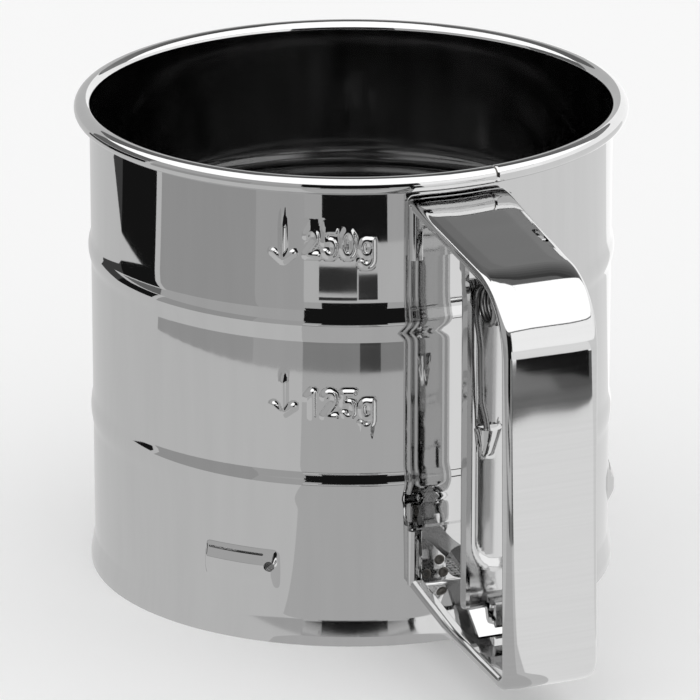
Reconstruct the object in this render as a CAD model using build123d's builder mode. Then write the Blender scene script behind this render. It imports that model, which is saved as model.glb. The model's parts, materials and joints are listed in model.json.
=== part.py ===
"""Squeeze-handle flour sifter, in millimetres.

The can stands on its bottom hem. +Z is up, the origin is on the can's axis at the base plane, and
the handle points along +X. Squeezing the trigger towards the grip pulls the drive link outwards
through the wall, and the link turns the rotor whose blades sweep over the mesh.
"""

import math
import os

from build123d import *

# --- can ---------------------------------------------------------------------------------------
CAN_RADIUS = 50.0            # outside of the plain wall
CAN_SHEET = 0.4
CAN_HEIGHT = 92.9            # top of the rolled rim
RIM_OUTER_RADIUS = 52.95
RIM_TURN = 290.0             # degrees of sheet in the rolled rim
BEADS = {"upper": (63.7, 3.35, 0.55), "lower": (31.2, 4.0, 0.4)}   # centre, half height, proud by
HEM_CONE = (1.2, 5.4)        # the wall flares outwards between these heights, down to the hem
HEM_PROUD = 0.45
POCKET_ANGLES = (-47.0, 73.0, 193.0)
POCKET_ARC = 18.0            # degrees
POCKET_PROFILE = ((0.0, 18.2), (1.2, 14.4), (1.2, 12.3), (0.0, 10.7))   # proud by, height
POCKET_ROOT = 1.2            # how far the pocket's tools reach inside the wall
OPENING_CENTRE_Y = 3.3
OPENING_CENTRE_Z = 15.55
OPENING_WIDTH = 10.0
OPENING_HEIGHT = 6.5

# --- handle ------------------------------------------------------------------------------------
STRIP_WIDTH = 18.5
STRIP_SHEET = 0.7
HEM_RADIUS = 1.2             # rolled edges of the strip
HEM_LIP = 1.3
FLANGE_HALF_ANGLE = 10.6
ARM_TOP_AT_CAN = 88.5        # upper face of the top arm where it meets the can
GRIP_TOP_CORNER = (94.65, 83.1)
GRIP_TOP_BEND = 14.0
GRIP_LOW_CORNER = (96.4, 6.4)
GRIP_LOW_BEND = 4.5
LOW_ARM_KNEE = (70.0, 7.95)
LOW_ARM_KNEE_BEND = 60.0
ARM_LOW_AT_CAN = 11.2        # lower face of the bottom arm where it meets the can
UPPER_FLANGE_Z = (76.7, 88.3)
LOWER_FLANGE_Z = (11.25, 23.3)
FLANGE_GAP = 0.02

# --- trigger -----------------------------------------------------------------------------------
PIVOT_X = 72.3
PIVOT_Z = 85.2
SQUEEZE = 10.0               # degrees of trigger travel
TRIGGER_SHEET = 0.8
TRIGGER_X = 71.0             # can side of the trigger plate
TRIGGER_HALF_WIDTH = 8.0
TRIGGER_TOP = 79.0
TRIGGER_FOLD_Z = 13.9        # the plate turns outwards into the tongue here
FLANGE_DEPTH = 3.8
FLANGE_LOW = 14.6
FLANGE_TOP = 76.0            # the flanges rise to the ears above this height
EAR_HALF_LENGTH = 1.3
EAR_TOP = 85.5
LEFT_EAR_TOP = 84.5
EAR_SLOT = (-3.3, 2.3)      # slot ends in X, from the pivot
EAR_SLOT_SIDE = 0.3
SLOT_REACH = 3.0             # the slots are cut this far below the pivot
BLIND_SLOT_GAP = 0.1         # above the left ear, whose slot doesn't go right through
PANEL_HALF_WIDTH = 5.4
PANEL_DEPTH = 0.6
PANEL_Z = (22.4, 76.0)
SCOOP_Z = (44.2, 50.2)
SCOOP_Y = -2.2
SCOOP_HALF_WIDTH = 2.2
SCOOP_DEPTH = 2.3
SCOOP_WALL = 0.5
SCOOP_ROOT = 0.1             # how far the scoop reaches into the panel's face
SCOOP_FOOT = 0.2             # share of the scoop's width at its closed bottom
TONGUE_HALF_WIDTH = 6.1
TONGUE_SLOPE = 38.0
TONGUE_OVERLAP = 0.3         # the plate runs this far below the fold, into the tongue
TONGUE_END_X = 76.4
WINDOW_Z = (14.1, 17.1)

# --- drive -------------------------------------------------------------------------------------
TAB_CENTRE_X = 74.5          # the link's turned-down end
TAB_THICK = 1.2
TAB_HALF_WIDTH = 2.0
TAB_LOW = 9.4
TAB_PLAY = 0.4
ROTOR_SWEEP = 60.0
REST_ANGLE = 120.0           # of the crank pin, from +X
LINK_Z = 15.4
LINK_SHEET = 1.2
LINK_WIDTH = 4.6
LINK_EYE_RADIUS = 4.2
PIN_RADIUS = 1.6
RUNNING_GAP = 0.05
CRANK_Z = 13.9
CRANK_SHEET = 1.2
WASHER_SHEET = 0.25
CRANK_BOSS_RADIUS = 6.5
CRANK_EYE_RADIUS = 4.0
PIN_HEAD_RADIUS = 3.0
PIN_HEAD_HEIGHT = 1.3
RIVET_TAIL = 0.9

# --- axle stack --------------------------------------------------------------------------------
AXLE_RADIUS = 2.0
HUB_RADIUS = 4.0
HUB_Z = (5.3, 18.9)
SPIDER_Z = 20.0
SPIDER_SHEET = 1.0
SPIDER_TIP_Z = 12.8
SPIDER_TIP_RADIUS = 50.45
SPIDER_ARM_WIDTH = 9.0
SPIDER_HUB_RADIUS = 11.0
SPIDER_STEP = (27.0, 37.0)   # radii between which the arms slope down
THRUST_GAP = 0.1
BOLT_END_Z = 0.7
BOLT_HEAD_RADIUS = 3.8
BOLT_HEAD_HEIGHT = 2.4
UPPER_WASHER_RADIUS = 4.6
LOWER_WASHER_RADIUS = 5.5
MESH_WASHER_RADIUS = 6.0
MESH_WASHER_SHEET = 0.7
NUT_HEIGHT = 2.0
NUT_ACROSS_FLATS = 7.0
MESH_Z = (3.95, 4.35)
MESH_RADIUS = 49.6
MESH_PITCH = 5.0
MESH_HOLE = 4.2
MESH_COUNT = 19
MESH_OPEN_RADIUS = 46.0
MESH_CENTRE_RADIUS = 6.5
RING_RADIUS = 49.65
RING_SHEET = 0.5
RING_LOW = 0.5
RING_INNER_RADIUS = 46.8
CLAMP_RADIUS = 49.5
BLADE_REACH = 45.8
BLADE_Z = (4.95, 10.0)
BLADE_ROOT_LOW = 5.6
BLADE_TIP_TOP = 8.0
BLADE_SHEET = 0.8
BLADE_COUNT = 4
BLADE_START_ANGLE = 25.0

# --- spring ------------------------------------------------------------------------------------
WIRE_RADIUS = 0.6
COIL_CENTRE = (76.2, 75.5)
COIL_RADIUS = 3.6
COIL_START_Y = -5.4
COIL_PITCH = 1.26
COIL_TURNS = 6.437           # ends pointing down and outwards to the grip
GRIP_LEG = 37.0
SCOOP_LEG = ((72.25, -2.9, 49.2), (72.65, -4.2, 56.0), (73.2, -4.6, 65.0))   # scoop, kink, bow

# Distance the slot in the tongue moves outwards over the squeeze: the crank pin's chord equals it.
TONGUE_MID_Z = TRIGGER_FOLD_Z - (TAB_CENTRE_X - TRIGGER_X - TRIGGER_SHEET / 2) * math.tan(
    math.radians(TONGUE_SLOPE)
)
PULL = (PIVOT_Z - TONGUE_MID_Z) * math.sin(math.radians(SQUEEZE)) - (TAB_CENTRE_X - PIVOT_X) * (
    1 - math.cos(math.radians(SQUEEZE))
)
CRANK_RADIUS = PULL / (2 * math.sin(math.radians(ROTOR_SWEEP / 2)))
CRANK_PIN_X = CRANK_RADIUS * math.cos(math.radians(REST_ANGLE))
CRANK_PIN_Y = CRANK_RADIUS * math.sin(math.radians(REST_ANGLE))
SIDE_HUMP = CRANK_RADIUS * (1 - math.cos(math.radians(ROTOR_SWEEP / 2)))

WALL = CAN_RADIUS - CAN_SHEET / 2          # middle of the can's sheet


def save(part, name):
    part.label = name
    export_step(part, f"parts/{name}.step")


def s_bend(start, end):
    """Two equal arcs between points on two upright lines, upright at both ends."""
    middle = ((start[0] + end[0]) / 2, (start[1] + end[1]) / 2)
    first = TangentArc(start, middle, tangent=(0, 1))
    TangentArc(middle, end, tangent=first % 1)


def can_profile():
    """Middle line of the can's sheet, from the hem up into the rolled rim."""
    hem = WALL + HEM_PROUD
    curl = (RIM_OUTER_RADIUS - CAN_SHEET / 2 - WALL) / 2
    curl_z = CAN_HEIGHT - CAN_SHEET / 2 - curl
    with BuildSketch(Plane.XZ) as profile:
        with BuildLine():
            Line((hem, -CAN_SHEET), (hem, HEM_CONE[0]))
            Line((hem, HEM_CONE[0]), (WALL, HEM_CONE[1]))
            below = HEM_CONE[1]
            for centre, half, proud in (BEADS["lower"], BEADS["upper"]):
                Line((WALL, below), (WALL, centre - half))
                s_bend((WALL, centre - half), (WALL + proud, centre))
                s_bend((WALL + proud, centre), (WALL, centre + half))
                below = centre + half
            Line((WALL, below), (WALL, curl_z))
            JernArc((WALL, curl_z), (0, 1), curl, -RIM_TURN)
            offset(amount=CAN_SHEET / 2, side=Side.BOTH)
        make_face()
        with Locations((hem, 0)):
            Rectangle(2, 2, align=(Align.CENTER, Align.MAX), mode=Mode.SUBTRACT)
    return profile.sketch


def pocket_face(shift):
    """Section of one pressed pocket, moved inwards by shift."""
    with BuildSketch(Plane.XZ) as face:
        with BuildLine():
            points = [(CAN_RADIUS + proud - shift, z) for proud, z in POCKET_PROFILE]
            points.append((CAN_RADIUS - POCKET_ROOT, POCKET_PROFILE[-1][1]))
            points.append((CAN_RADIUS - POCKET_ROOT, POCKET_PROFILE[0][1]))
            Polyline(*points, close=True)
        make_face()
    return face.sketch


def turned_wedge(face, arc, angle):
    """A face turned about Z through an arc centred on an angle."""
    wedge = revolve(face, axis=Axis.Z, revolution_arc=arc, mode=Mode.PRIVATE)
    return Rot(0, 0, angle - arc / 2) * wedge


def make_can_body():
    pocket_out = pocket_face(0)
    pocket_in = pocket_face(CAN_SHEET)
    with BuildPart() as can_body:
        add(can_profile())
        revolve(axis=Axis.Z)
        for angle in POCKET_ANGLES:
            bump = turned_wedge(pocket_out, POCKET_ARC, angle)
            core = Cylinder(WALL, CAN_HEIGHT, mode=Mode.PRIVATE)
            add(bump - core)
        for angle in POCKET_ANGLES:
            inner_arc = POCKET_ARC - 2 * math.degrees(CAN_SHEET / CAN_RADIUS)
            add(turned_wedge(pocket_in, inner_arc, angle), mode=Mode.SUBTRACT)
        with BuildSketch(Plane.YZ.offset(CAN_RADIUS - 5)):
            with Locations((OPENING_CENTRE_Y, OPENING_CENTRE_Z)):
                SlotOverall(OPENING_WIDTH, OPENING_HEIGHT)
        extrude(amount=10, mode=Mode.SUBTRACT)
    save(can_body.part, "can_body")


def arm_direction(start, end):
    """Unit direction of a straight run in the XZ plane."""
    return (Vector(end[0], 0, end[1]) - Vector(start[0], 0, start[1])).normalized()


def hemmed_section(plane):
    """Strip section: a flat web under the plane's X axis, with both edges rolled underneath."""
    roll = HEM_RADIUS - STRIP_SHEET / 2
    side = STRIP_WIDTH / 2 - HEM_RADIUS
    web = -STRIP_SHEET / 2
    with BuildSketch(plane) as section:
        with BuildLine():
            left_lip = Line((-side + HEM_LIP, web - 2 * roll), (-side, web - 2 * roll))
            left_roll = JernArc(left_lip @ 1, (-1, 0), roll, -180)
            flat = Line(left_roll @ 1, (side, web))
            right_roll = JernArc(flat @ 1, (1, 0), roll, -180)
            Line(right_roll @ 1, (side - HEM_LIP, web - 2 * roll))
            offset(amount=STRIP_SHEET / 2, side=Side.BOTH)
        make_face()
    return section.sketch


def strip_path():
    """Outer face of the strip in the XZ plane: top arm, grip, bottom arm."""
    inside = CAN_RADIUS - 2
    top_slope = (GRIP_TOP_CORNER[1] - ARM_TOP_AT_CAN) / (GRIP_TOP_CORNER[0] - CAN_RADIUS)
    low_slope = (LOW_ARM_KNEE[1] - ARM_LOW_AT_CAN) / (LOW_ARM_KNEE[0] - CAN_RADIUS)
    start = (inside, 0, ARM_TOP_AT_CAN - 2 * top_slope)
    finish = (inside, 0, ARM_LOW_AT_CAN - 2 * low_slope)
    corners = [start]
    for x, z in (GRIP_TOP_CORNER, GRIP_LOW_CORNER, LOW_ARM_KNEE):
        corners.append((x, 0, z))
    corners.append(finish)
    bends = [GRIP_TOP_BEND, GRIP_LOW_BEND, LOW_ARM_KNEE_BEND]
    return FilletPolyline(*corners, radius=bends, mode=Mode.PRIVATE), start


def flange_on_can(low, high):
    """Strip end spot-welded to the can, following its wall, with the rolled edges upright."""
    web_radius = CAN_RADIUS + FLANGE_GAP
    with BuildPart() as flange:
        with BuildSketch(Plane.XZ):
            with BuildLine():
                Polyline(
                    (web_radius, low),
                    (web_radius + STRIP_SHEET, low),
                    (web_radius + STRIP_SHEET, high),
                    (web_radius, high),
                    close=True,
                )
            make_face()
        revolve(axis=Axis.Z, revolution_arc=2 * FLANGE_HALF_ANGLE)
    turned = Rot(0, 0, -FLANGE_HALF_ANGLE) * flange.part
    edge_radius = web_radius + HEM_RADIUS
    edge_y = STRIP_WIDTH / 2 - HEM_RADIUS
    edge_x = math.sqrt(edge_radius**2 - edge_y**2)
    for side in (-1, 1):
        rod = Cylinder(HEM_RADIUS, high - low, align=(Align.CENTER, Align.CENTER, Align.MIN))
        turned = turned + Pos(edge_x, side * edge_y, low) * rod
    return turned


def make_handle():
    path, start = strip_path()
    along = arm_direction((start[0], start[2]), GRIP_TOP_CORNER)
    section = hemmed_section(Plane(origin=start, x_dir=(0, 1, 0), z_dir=along))
    can_bore = Cylinder(
        CAN_RADIUS + FLANGE_GAP,
        CAN_HEIGHT + 10,
        align=(Align.CENTER, Align.CENTER, Align.MIN),
        mode=Mode.PRIVATE,
    )
    slot_length = EAR_SLOT[1] - EAR_SLOT[0]
    slot_x = PIVOT_X + (EAR_SLOT[0] + EAR_SLOT[1]) / 2
    slot_y = TRIGGER_HALF_WIDTH - TRIGGER_SHEET / 2
    slot_width = TRIGGER_SHEET + 2 * EAR_SLOT_SIDE
    with BuildPart() as handle:
        sweep(section, path=path)
        add(flange_on_can(*UPPER_FLANGE_Z))
        add(flange_on_can(*LOWER_FLANGE_Z))
        add(can_bore, mode=Mode.SUBTRACT)
        with BuildSketch(Plane.YZ.offset(CAN_RADIUS - 5)):
            with Locations((OPENING_CENTRE_Y, OPENING_CENTRE_Z)):
                SlotOverall(OPENING_WIDTH, OPENING_HEIGHT)
        extrude(amount=10, mode=Mode.SUBTRACT)
        with BuildSketch(Plane.XY.offset(PIVOT_Z - SLOT_REACH)):
            with Locations((slot_x, slot_y)):
                SlotOverall(slot_length, slot_width)
        extrude(amount=2 * SLOT_REACH, mode=Mode.SUBTRACT)
        with BuildSketch(Plane.XY.offset(PIVOT_Z - SLOT_REACH)):
            with Locations((slot_x, -slot_y)):
                SlotOverall(slot_length, slot_width)
        extrude(amount=LEFT_EAR_TOP + BLIND_SLOT_GAP - PIVOT_Z + SLOT_REACH, mode=Mode.SUBTRACT)
    save(handle.part, "handle")


def trigger_flange(ear_top):
    """Side of the channel with its ear, drawn in the XZ plane."""
    front = TRIGGER_X + FLANGE_DEPTH
    with BuildSketch(Plane.XZ) as flange:
        with BuildLine():
            Polyline(
                (TRIGGER_X, FLANGE_LOW),
                (front, FLANGE_LOW),
                (front, FLANGE_TOP),
                (PIVOT_X + EAR_HALF_LENGTH, TRIGGER_TOP),
                (PIVOT_X + EAR_HALF_LENGTH, ear_top),
                (PIVOT_X - EAR_HALF_LENGTH, ear_top),
                (TRIGGER_X, TRIGGER_TOP),
                close=True,
            )
        make_face()
    return flange.sketch


def make_trigger():
    """Channel pressed from sheet: plate, two flanges, two ears, a scoop and a slotted tongue."""
    outer = TRIGGER_X + TRIGGER_SHEET
    slope = math.radians(TONGUE_SLOPE)
    tongue_run = TONGUE_END_X - (outer - TRIGGER_SHEET / 2)
    tongue_end_z = TRIGGER_FOLD_Z - tongue_run * math.tan(slope)
    side = TRIGGER_HALF_WIDTH
    tab_slot_x = TAB_THICK + 2 * TAB_PLAY
    tab_slot_y = 2 * TAB_HALF_WIDTH + SIDE_HUMP + 2 * TAB_PLAY
    drift_y = SIDE_HUMP / 2
    panel_height = PANEL_Z[1] - PANEL_Z[0]
    panel_mid = (PANEL_Z[0] + PANEL_Z[1]) / 2
    with BuildPart() as trigger:
        with BuildSketch(Plane.YZ.offset(TRIGGER_X)):
            with BuildLine():
                Polyline(
                    (-side, FLANGE_LOW),
                    (-TONGUE_HALF_WIDTH, TRIGGER_FOLD_Z - TONGUE_OVERLAP),
                    (TONGUE_HALF_WIDTH, TRIGGER_FOLD_Z - TONGUE_OVERLAP),
                    (side, FLANGE_LOW),
                    (side, TRIGGER_TOP),
                    (-side, TRIGGER_TOP),
                    close=True,
                )
            make_face()
        extrude(amount=TRIGGER_SHEET)
        for edge, ear_top in ((side, EAR_TOP), (TRIGGER_SHEET - side, LEFT_EAR_TOP)):
            flange = Pos(0, edge, 0) * trigger_flange(ear_top)
            add(extrude(flange, amount=TRIGGER_SHEET, mode=Mode.PRIVATE))
        with BuildSketch(Plane.XZ.offset(-TONGUE_HALF_WIDTH)):
            with BuildLine():
                Line((outer - TRIGGER_SHEET / 2, TRIGGER_FOLD_Z), (TONGUE_END_X, tongue_end_z))
                offset(amount=TRIGGER_SHEET / 2, side=Side.BOTH)
            make_face()
        extrude(amount=2 * TONGUE_HALF_WIDTH)
        with BuildSketch(Plane.YZ.offset(TRIGGER_X - PANEL_DEPTH)):
            with Locations((0, panel_mid)):
                SlotOverall(panel_height, 2 * PANEL_HALF_WIDTH, rotation=90)
        extrude(amount=TRIGGER_SHEET)
        with BuildSketch(Plane.YZ.offset(outer - PANEL_DEPTH)):
            with Locations((0, panel_mid)):
                SlotOverall(
                    panel_height - TRIGGER_SHEET,
                    2 * PANEL_HALF_WIDTH - TRIGGER_SHEET,
                    rotation=90,
                )
        extrude(amount=TRIGGER_SHEET, mode=Mode.SUBTRACT)
        with BuildSketch(Plane.YZ.offset(TRIGGER_X - TRIGGER_SHEET)):
            with Locations((drift_y, (WINDOW_Z[0] + WINDOW_Z[1]) / 2)):
                Rectangle(tab_slot_y, WINDOW_Z[1] - WINDOW_Z[0])
        extrude(amount=3 * TRIGGER_SHEET, mode=Mode.SUBTRACT)
        with BuildSketch(Plane.XY.offset(TRIGGER_FOLD_Z + TRIGGER_SHEET)):
            with Locations((TAB_CENTRE_X, drift_y)):
                Rectangle(tab_slot_x, tab_slot_y)
        extrude(amount=-TRIGGER_FOLD_Z, mode=Mode.SUBTRACT)
    scoop = scoop_shell()
    whole = trigger.part + scoop[0] - scoop[1]
    save(whole, "trigger")


def scoop_shell():
    """Outer and inner volumes of the open-topped scoop that holds the spring's end."""
    low, high = SCOOP_Z
    back = TRIGGER_X + TRIGGER_SHEET - PANEL_DEPTH - SCOOP_ROOT
    shapes = []
    for shrink in (0.0, SCOOP_WALL):
        half = SCOOP_HALF_WIDTH - shrink
        deep = SCOOP_DEPTH + PANEL_DEPTH - shrink
        foot = (2 * SCOOP_ROOT, 2 * SCOOP_FOOT * half)
        with BuildPart() as volume:
            with BuildSketch(Plane.XY.offset(low + shrink)):
                with Locations((back, SCOOP_Y)):
                    Rectangle(*foot, align=(Align.MIN, Align.CENTER))
            with BuildSketch(Plane.XY.offset(high + shrink)):
                with Locations((back, SCOOP_Y)):
                    Rectangle(deep, 2 * half, align=(Align.MIN, Align.CENTER))
            loft()
        shapes.append(volume.part)
    return shapes


def spring_wire():
    """Middle line of the spring: scoop end, kinked leg, coil, straight leg to the grip."""
    coil_x, coil_z = COIL_CENTRE
    centre = Pos(coil_x, 0, coil_z) * Rot(0, -90, 0)
    coil = centre * Helix(
        pitch=COIL_PITCH,
        height=COIL_PITCH * COIL_TURNS,
        radius=COIL_RADIUS,
        center=(0, COIL_START_Y, 0),
        direction=(0, 1, 0),
        mode=Mode.PRIVATE,
    )
    leg_start = coil @ 1
    leg_end = leg_start + (coil % 1) * GRIP_LEG
    trigger_leg = Spline(
        *SCOOP_LEG, coil @ 0, tangents=[(0, 0.1, 1), coil % 0], mode=Mode.PRIVATE
    )
    grip_leg = Line(leg_start, leg_end, mode=Mode.PRIVATE)
    return Wire([*trigger_leg.edges(), *coil.edges(), *grip_leg.edges()])


def make_trigger_spring():
    """Torsion spring: a coil on the Y axis, a leg in the trigger's scoop and a leg on the grip."""
    wire = spring_wire()
    with BuildPart() as trigger_spring:
        with BuildSketch(Plane(origin=wire @ 0, z_dir=wire % 0)):
            Circle(WIRE_RADIUS)
        sweep(path=wire)
    save(trigger_spring.part, "trigger_spring")


def washer(hole, outer, low, high):
    """Flat ring on the axle or on the crank pin."""
    with BuildPart() as ring:
        with BuildSketch(Plane.XY.offset(low)):
            Circle(outer)
            Circle(hole, mode=Mode.SUBTRACT)
        extrude(amount=high - low)
        chamfer(ring.edges().filter_by(GeomType.CIRCLE).sort_by(Axis.Z)[-1], (high - low) / 4)
    return ring.part


def make_drive_link():
    """Flat strip from the crank pin through the wall, with its outer end turned down as a tab."""
    outer_x = TAB_CENTRE_X + TAB_THICK / 2
    half = LINK_WIDTH / 2
    bend_x = TRIGGER_X - 4
    run = math.hypot(bend_x - CRANK_PIN_X, CRANK_PIN_Y)
    across_x = half * CRANK_PIN_Y / run
    across_y = half * (bend_x - CRANK_PIN_X) / run
    with BuildPart() as drive_link:
        with BuildSketch(Plane.XY.offset(LINK_Z)):
            with BuildLine():
                Polyline(
                    (CRANK_PIN_X + across_x, CRANK_PIN_Y + across_y),
                    (bend_x + across_x, across_y),
                    (outer_x, TAB_HALF_WIDTH),
                    (outer_x, -TAB_HALF_WIDTH),
                    (bend_x - across_x, -across_y),
                    (CRANK_PIN_X - across_x, CRANK_PIN_Y - across_y),
                    close=True,
                )
            make_face()
            with Locations((CRANK_PIN_X, CRANK_PIN_Y)):
                Circle(LINK_EYE_RADIUS)
                Circle(PIN_RADIUS + RUNNING_GAP, mode=Mode.SUBTRACT)
        extrude(amount=LINK_SHEET)
        with BuildSketch(Plane.XY.offset(TAB_LOW)):
            with Locations((TAB_CENTRE_X, 0)):
                Rectangle(TAB_THICK, 2 * TAB_HALF_WIDTH)
        extrude(amount=LINK_Z + LINK_SHEET - TAB_LOW)
        outer_top = drive_link.edges().filter_by(Axis.Y).group_by(Axis.X)[-1].sort_by(Axis.Z)[-1]
        fillet(outer_top, LINK_SHEET * 0.9)
    save(drive_link.part, "drive_link")


def make_crank():
    """Crank arm on the hub, and the riveted pin and washer that the link turns on."""
    pin = (CRANK_PIN_X, CRANK_PIN_Y)
    with BuildPart() as crank_arm:
        with BuildSketch(Plane.XY.offset(CRANK_Z)):
            Circle(CRANK_BOSS_RADIUS)
            with Locations(pin):
                Circle(CRANK_EYE_RADIUS)
            make_hull()
            Circle(HUB_RADIUS, mode=Mode.SUBTRACT)
            with Locations(pin):
                Circle(PIN_RADIUS, mode=Mode.SUBTRACT)
        extrude(amount=CRANK_SHEET)
    save(crank_arm.part, "crank_arm")

    washer_low = CRANK_Z + CRANK_SHEET
    link_top = LINK_Z + LINK_SHEET
    pin_washer = washer(PIN_RADIUS, PIN_HEAD_RADIUS, washer_low, washer_low + WASHER_SHEET)
    save(Pos(*pin, 0) * pin_washer, "crank_pin_washer")

    with BuildPart() as crank_pin:
        with BuildSketch(Plane.XZ):
            with BuildLine():
                Polyline(
                    (0, CRANK_Z - RIVET_TAIL),
                    (PIN_RADIUS + 0.4, CRANK_Z - RIVET_TAIL),
                    (PIN_RADIUS + 0.8, CRANK_Z),
                    (PIN_RADIUS, CRANK_Z),
                    (PIN_RADIUS, link_top + RUNNING_GAP),
                    (PIN_HEAD_RADIUS, link_top + RUNNING_GAP),
                    (PIN_HEAD_RADIUS - 0.6, link_top + PIN_HEAD_HEIGHT),
                    (0, link_top + PIN_HEAD_HEIGHT),
                    close=True,
                )
            make_face()
        revolve(axis=Axis.Z)
    save(Pos(*pin, 0) * crank_pin.part, "crank_pin")


def make_rotor():
    """Hub that turns on the axle, and the upright blades that sweep over the mesh."""
    with BuildPart() as rotor_hub:
        with BuildSketch(Plane.XZ):
            with BuildLine():
                Polyline(
                    (AXLE_RADIUS + RUNNING_GAP, HUB_Z[0]),
                    (HUB_RADIUS - 0.4, HUB_Z[0]),
                    (HUB_RADIUS, HUB_Z[0] + 0.4),
                    (HUB_RADIUS, HUB_Z[1] - 0.4),
                    (HUB_RADIUS - 0.4, HUB_Z[1]),
                    (AXLE_RADIUS + RUNNING_GAP, HUB_Z[1]),
                    close=True,
                )
            make_face()
        revolve(axis=Axis.Z)
    save(rotor_hub.part, "rotor_hub")

    hub = Cylinder(HUB_RADIUS, CAN_HEIGHT, mode=Mode.PRIVATE)
    for index in range(BLADE_COUNT):
        with BuildPart() as blade:
            with BuildSketch(Plane.XZ.offset(-BLADE_SHEET / 2)):
                with BuildLine():
                    Polyline(
                        (HUB_RADIUS - 0.5, BLADE_ROOT_LOW),
                        (HUB_RADIUS + 2.5, BLADE_Z[0]),
                        (BLADE_REACH - 1, BLADE_Z[0]),
                        (BLADE_REACH, BLADE_Z[0] + 1),
                        (BLADE_REACH, BLADE_TIP_TOP),
                        (HUB_RADIUS + 6, BLADE_Z[1]),
                        (HUB_RADIUS - 0.5, BLADE_Z[1]),
                        close=True,
                    )
                make_face()
            extrude(amount=BLADE_SHEET)
            add(hub, mode=Mode.SUBTRACT)
        angle = BLADE_START_ANGLE + index * 360 / BLADE_COUNT
        save(Rot(0, 0, angle) * blade.part, f"rotor_blade_{index + 1}")


def make_bearing_spider():
    """Three-armed bracket: its tips snap into the can's pockets and it holds the axle."""
    low = SPIDER_TIP_Z + SPIDER_SHEET / 2
    high = SPIDER_Z + SPIDER_SHEET / 2
    with BuildPart() as arm:
        with BuildSketch(Plane.XZ.offset(-SPIDER_ARM_WIDTH / 2)):
            with BuildLine():
                Polyline(
                    (SPIDER_HUB_RADIUS - 2, high),
                    (SPIDER_STEP[0], high),
                    (SPIDER_STEP[1], low),
                    (SPIDER_TIP_RADIUS + 2, low),
                )
                offset(amount=SPIDER_SHEET / 2, side=Side.BOTH)
            make_face()
        extrude(amount=SPIDER_ARM_WIDTH)
    reach = Cylinder(SPIDER_TIP_RADIUS, CAN_HEIGHT, mode=Mode.PRIVATE)
    one_arm = arm.part & reach
    with BuildPart() as bearing_spider:
        with BuildSketch(Plane.XY.offset(SPIDER_Z)):
            Circle(SPIDER_HUB_RADIUS)
        extrude(amount=SPIDER_SHEET)
        for angle in POCKET_ANGLES:
            add(Rot(0, 0, angle) * one_arm)
        with BuildSketch(Plane.XY.offset(SPIDER_Z - 1)):
            Circle(AXLE_RADIUS)
        extrude(amount=SPIDER_SHEET + 2, mode=Mode.SUBTRACT)
    save(bearing_spider.part, "bearing_spider")


def make_axle():
    """Headed bolt down through spider, rotor and mesh, with its washers and nut."""
    head_low = SPIDER_Z + SPIDER_SHEET
    with BuildPart() as axle_bolt:
        with BuildSketch(Plane.XZ):
            with BuildLine():
                Polyline(
                    (0, BOLT_END_Z),
                    (AXLE_RADIUS - 0.4, BOLT_END_Z),
                    (AXLE_RADIUS, BOLT_END_Z + 0.4),
                    (AXLE_RADIUS, head_low),
                    (BOLT_HEAD_RADIUS, head_low),
                    (BOLT_HEAD_RADIUS, head_low + 1.2),
                    (BOLT_HEAD_RADIUS - 1, head_low + BOLT_HEAD_HEIGHT),
                    (0, head_low + BOLT_HEAD_HEIGHT),
                    close=True,
                )
            make_face()
        revolve(axis=Axis.Z)
    save(axle_bolt.part, "axle_bolt")

    washers = {
        "upper_washer": (UPPER_WASHER_RADIUS, HUB_Z[1] + THRUST_GAP, SPIDER_Z),
        "lower_washer": (LOWER_WASHER_RADIUS, MESH_Z[1], HUB_Z[0] - THRUST_GAP),
        "mesh_washer": (MESH_WASHER_RADIUS, MESH_Z[0] - MESH_WASHER_SHEET, MESH_Z[0]),
    }
    for name, (outer, low, high) in washers.items():
        save(washer(AXLE_RADIUS, outer, low, high), name)

    nut_high = MESH_Z[0] - MESH_WASHER_SHEET
    with BuildPart() as axle_nut:
        with BuildSketch(Plane.XY.offset(nut_high - NUT_HEIGHT)):
            RegularPolygon(NUT_ACROSS_FLATS / 2, 6, major_radius=False)
            Circle(AXLE_RADIUS, mode=Mode.SUBTRACT)
        extrude(amount=NUT_HEIGHT)
    save(axle_nut.part, "axle_nut")


def make_sieve():
    """Mesh screen clamped between an angle ring in the hem and a flat ring above it."""
    with BuildPart() as sieve_mesh:
        with BuildSketch(Plane.XY.offset(MESH_Z[0])):
            with BuildSketch(mode=Mode.PRIVATE) as holes:
                with GridLocations(MESH_PITCH, MESH_PITCH, MESH_COUNT, MESH_COUNT):
                    Rectangle(MESH_HOLE, MESH_HOLE)
                Circle(MESH_OPEN_RADIUS, mode=Mode.INTERSECT)
                Circle(MESH_CENTRE_RADIUS, mode=Mode.SUBTRACT)
            Circle(MESH_RADIUS)
            add(holes.sketch, mode=Mode.SUBTRACT)
            Circle(AXLE_RADIUS, mode=Mode.SUBTRACT)
        extrude(amount=MESH_Z[1] - MESH_Z[0])
    save(sieve_mesh.part, "sieve_mesh")

    with BuildPart() as sieve_ring:
        with BuildSketch(Plane.XZ):
            with BuildLine():
                Polyline(
                    (RING_RADIUS - RING_SHEET, RING_LOW),
                    (RING_RADIUS, RING_LOW),
                    (RING_RADIUS, MESH_Z[0]),
                    (RING_INNER_RADIUS, MESH_Z[0]),
                    (RING_INNER_RADIUS, MESH_Z[0] - RING_SHEET),
                    (RING_RADIUS - RING_SHEET, MESH_Z[0] - RING_SHEET),
                    close=True,
                )
            make_face()
        revolve(axis=Axis.Z)
    save(sieve_ring.part, "sieve_ring")

    with BuildPart() as clamp_ring:
        with BuildSketch(Plane.XY.offset(MESH_Z[1])):
            Circle(CLAMP_RADIUS)
            Circle(RING_INNER_RADIUS, mode=Mode.SUBTRACT)
        extrude(amount=RING_SHEET)
    save(clamp_ring.part, "clamp_ring")


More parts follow.
